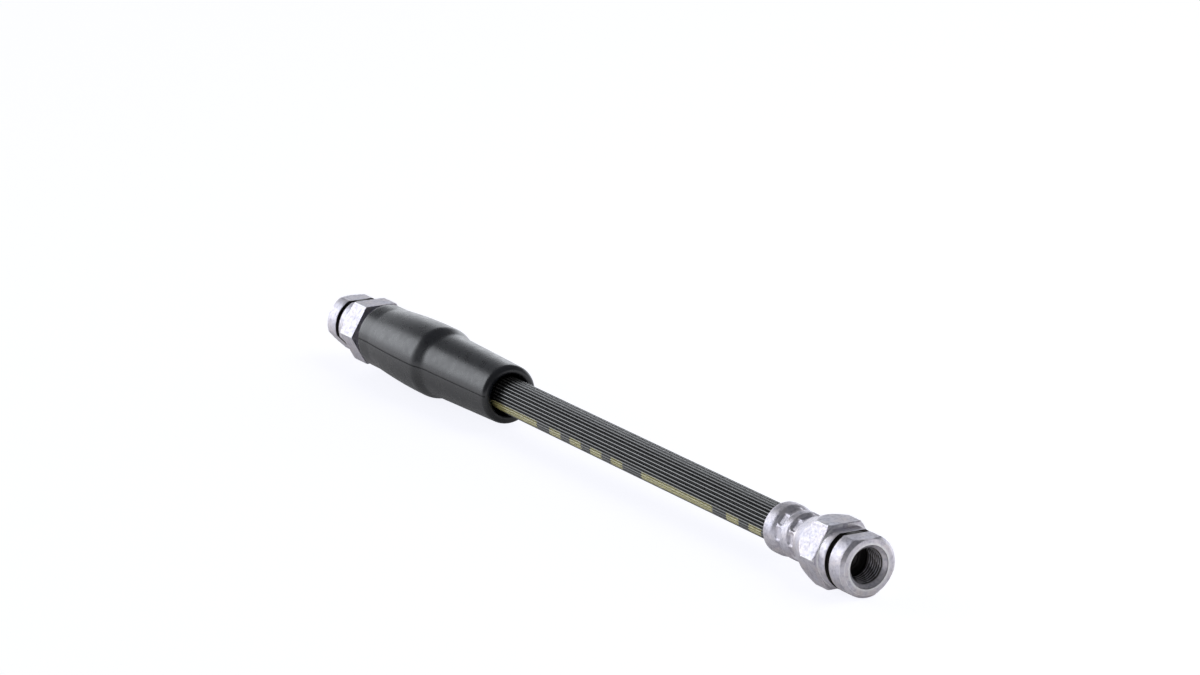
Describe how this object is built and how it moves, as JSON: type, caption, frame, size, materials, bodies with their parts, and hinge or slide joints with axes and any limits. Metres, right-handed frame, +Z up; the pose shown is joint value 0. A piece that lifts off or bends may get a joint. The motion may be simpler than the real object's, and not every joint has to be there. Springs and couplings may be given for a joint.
{
  "type": "brake hose",
  "caption": "Straight ribbed rubber brake hose with crimped steel female end fittings, hexagons, clip grooves and a stepped rubber sleeve over one end.",
  "frame": {"origin": "middle of the outer box in X and Y, on the ground at Z = 0", "axes": "+X along the hose towards the near (bare) end fitting, +Z up; the hose axis comes down towards +X by about half a degree, as the hose rests"},
  "size_m": [0.2772, 0.0208, 0.0208],
  "materials": {
    "cover_rubber": "extruded black rubber with fine lengthwise ribs, satin, with a broken pale yellow marking stripe",
    "braid_yarn": "braided off-white yarn, rubberised",
    "cushion_rubber": "thin black rubber layer",
    "tube_rubber": "smooth black rubber",
    "plated_steel": "turned steel, bright zinc plating",
    "sleeve_rubber": "moulded black rubber, satin, with a fine parting line"
  },
  "bodies": {
    "root": {"hose_cover": "cover_rubber", "outer_braid": "braid_yarn", "cushion_rubber": "cushion_rubber", "inner_braid": "braid_yarn", "inner_tube": "tube_rubber", "near_fitting_body": "plated_steel", "near_nipple": "plated_steel", "far_fitting_body": "plated_steel", "far_nipple": "plated_steel", "rubber_sleeve": "sleeve_rubber"}
  },
  "joints": []
}
